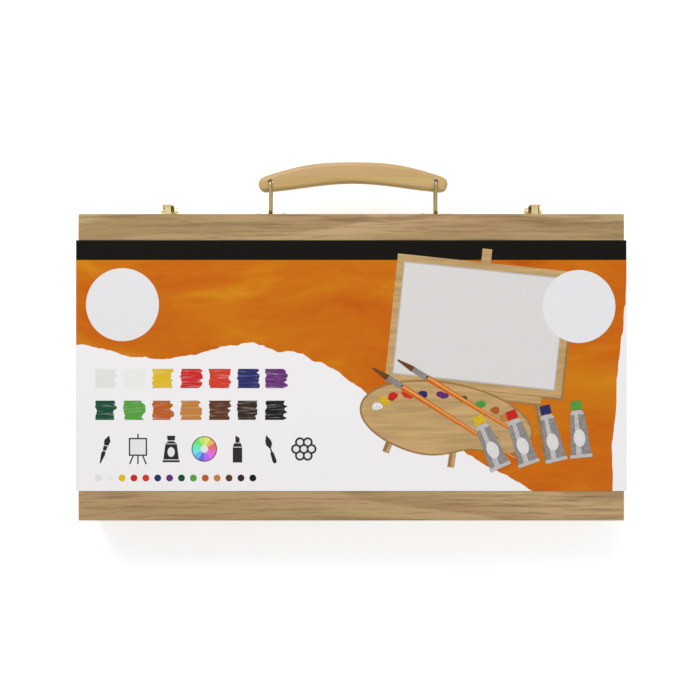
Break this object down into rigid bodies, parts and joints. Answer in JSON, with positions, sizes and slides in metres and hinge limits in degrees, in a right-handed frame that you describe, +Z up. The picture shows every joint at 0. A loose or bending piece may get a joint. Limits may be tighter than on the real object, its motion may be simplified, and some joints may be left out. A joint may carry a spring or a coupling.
{
  "type": "wooden paint box",
  "caption": "Flat hinged wooden box with a folding handle, two draw latches, a card sleeve and a fitted set of paints and tools.",
  "frame": {"origin": "on the surface it lies on, under the middle of the closed case", "axes": "+X along the box to the right seen from the handle side, -Y towards the handle and latches, +Y towards the hinges, +Z up to the lid"},
  "size_m": [0.3986, 0.2607, 0.0574],
  "materials": {
    "case_wood": "light brown wood with long horizontal grain, satin lacquer",
    "grip_wood": "lighter yellow wood, satin lacquer",
    "brass": "polished plated brass",
    "sleeve_card": "printed coated card, satin",
    "tray_plastic": "white vacuum-formed sheet",
    "tube_metal": "soft aluminium, satin",
    "cap_plastic": "moulded caps, one colour each",
    "brush_wood": "orange lacquer",
    "ferrule_metal": "polished",
    "bristle": "fine synthetic bristle",
    "knife_plastic": "white moulded plastic",
    "palette_plastic": "white moulded plastic",
    "marker_silver": "grey plastic",
    "marker_white": "white plastic",
    "marker_gold": "dull gold plastic",
    "marker_black": "black plastic",
    "canvas": "canvas-faced board",
    "guide_card": "printed card"
  },
  "bodies": {
    "base": {"base_back_wall": "case_wood", "base_front_wall": "case_wood", "base_left_wall": "case_wood", "base_panel": "case_wood", "base_right_wall": "case_wood", "base_tray": "tray_plastic", "brush_ferrules": "ferrule_metal", "brush_handles": "brush_wood", "brush_tufts": "bristle", "hinge_base_screws": "brass", "hinge_left_base_leaf": "brass", "hinge_left_pin": "brass", "hinge_right_base_leaf": "brass", "hinge_right_pin": "brass", "latch_left_plate": "brass", "latch_left_rivets": "brass", "latch_plate_screws": "brass", "latch_right_plate": "brass", "latch_right_rivets": "brass", "mixing_palette": "palette_plastic", "painting_knives": "knife_plastic", "tube_bodies": "tube_metal", "tube_caps": "cap_plastic"},
    "lid": {"canvas_boards": "canvas", "colour_guide": "guide_card", "handle_saddle_left": "brass", "handle_saddle_right": "brass", "handle_screws": "brass", "hinge_left_lid_leaf": "brass", "hinge_lid_screws": "brass", "hinge_right_lid_leaf": "brass", "latch_catch_screws": "brass", "latch_left_catch": "brass", "latch_right_catch": "brass", "lid_back_wall": "case_wood", "lid_front_wall": "case_wood", "lid_left_wall": "case_wood", "lid_panel": "case_wood", "lid_right_wall": "case_wood", "lid_tray": "tray_plastic", "marker_black_body": "marker_black", "marker_black_cap": "marker_black", "marker_gold_body": "marker_gold", "marker_gold_cap": "marker_gold", "marker_silver_body": "marker_silver", "marker_silver_cap": "marker_silver", "marker_white_body": "marker_white", "marker_white_cap": "marker_white"},
    "sleeve_top": {"sleeve_lid_half": "sleeve_card"},
    "sleeve_bottom": {"sleeve_base_half": "sleeve_card"},
    "wire_left": {"handle_wire_left": "brass"},
    "wire_right": {"handle_wire_right": "brass"},
    "grip": {"handle_grip": "grip_wood"},
    "lever_left": {"latch_left_lever": "brass", "latch_left_bail_pin": "brass"},
    "lever_right": {"latch_right_lever": "brass", "latch_right_bail_pin": "brass"},
    "bail_left": {"latch_left_bail": "brass"},
    "bail_right": {"latch_right_bail": "brass"}
  },
  "joints": [
    {"name": "lid_hinge", "type": "hinge", "parent": "base", "child": "lid", "pos_m": [0, 0.1087, 0.0336], "axis": [-1, 0, 0], "range_deg": [0, 104]},
    {"name": "sleeve_slide", "type": "slide", "parent": "lid", "child": "sleeve_top", "axis": [0, -1, 0], "range_m": [0, 0.245]},
    {"name": "sleeve_slide_bottom", "type": "slide", "parent": "base", "child": "sleeve_bottom", "axis": [0, -1, 0], "range_m": [0, 0.245]},
    {"name": "handle_fold", "type": "hinge", "parent": "lid", "child": "wire_left", "pos_m": [-0.0616, -0.1126, 0.0452], "axis": [0, 0, 1], "range_deg": [-65, 65]},
    {"name": "handle_fold_right", "type": "hinge", "parent": "lid", "child": "wire_right", "pos_m": [0.0588, -0.1126, 0.0452], "axis": [0, 0, 1], "range_deg": [-65, 65]},
    {"name": "grip_turn", "type": "hinge", "parent": "wire_left", "child": "grip", "pos_m": [-0.0616, -0.1349, 0.0452], "axis": [0, 0, 1], "range_deg": [-65, 65]},
    {"name": "latch_left_lift", "type": "hinge", "parent": "base", "child": "lever_left", "pos_m": [-0.1355, -0.116, 0.0251], "axis": [-1, 0, 0], "range_deg": [0, 100]},
    {"name": "latch_left_bail_swing", "type": "hinge", "parent": "lever_left", "child": "bail_left", "pos_m": [-0.1355, -0.1143, 0.0201], "axis": [-1, 0, 0], "range_deg": [-105, 0]},
    {"name": "latch_right_lift", "type": "hinge", "parent": "base", "child": "lever_right", "pos_m": [0.1355, -0.116, 0.0251], "axis": [-1, 0, 0], "range_deg": [0, 100]},
    {"name": "latch_right_bail_swing", "type": "hinge", "parent": "lever_right", "child": "bail_right", "pos_m": [0.1355, -0.1143, 0.0201], "axis": [-1, 0, 0], "range_deg": [-105, 0]}
  ],
  "couplings": [
    {"joint": "sleeve_slide_bottom", "follows": "sleeve_slide", "ratio": 1},
    {"joint": "handle_fold_right", "follows": "handle_fold", "ratio": 1},
    {"joint": "grip_turn", "follows": "handle_fold", "ratio": -1},
    {"joint": "latch_left_bail_swing", "follows": "latch_left_lift", "ratio": -1.05},
    {"joint": "latch_right_bail_swing", "follows": "latch_right_lift", "ratio": -1.05}
  ]
}
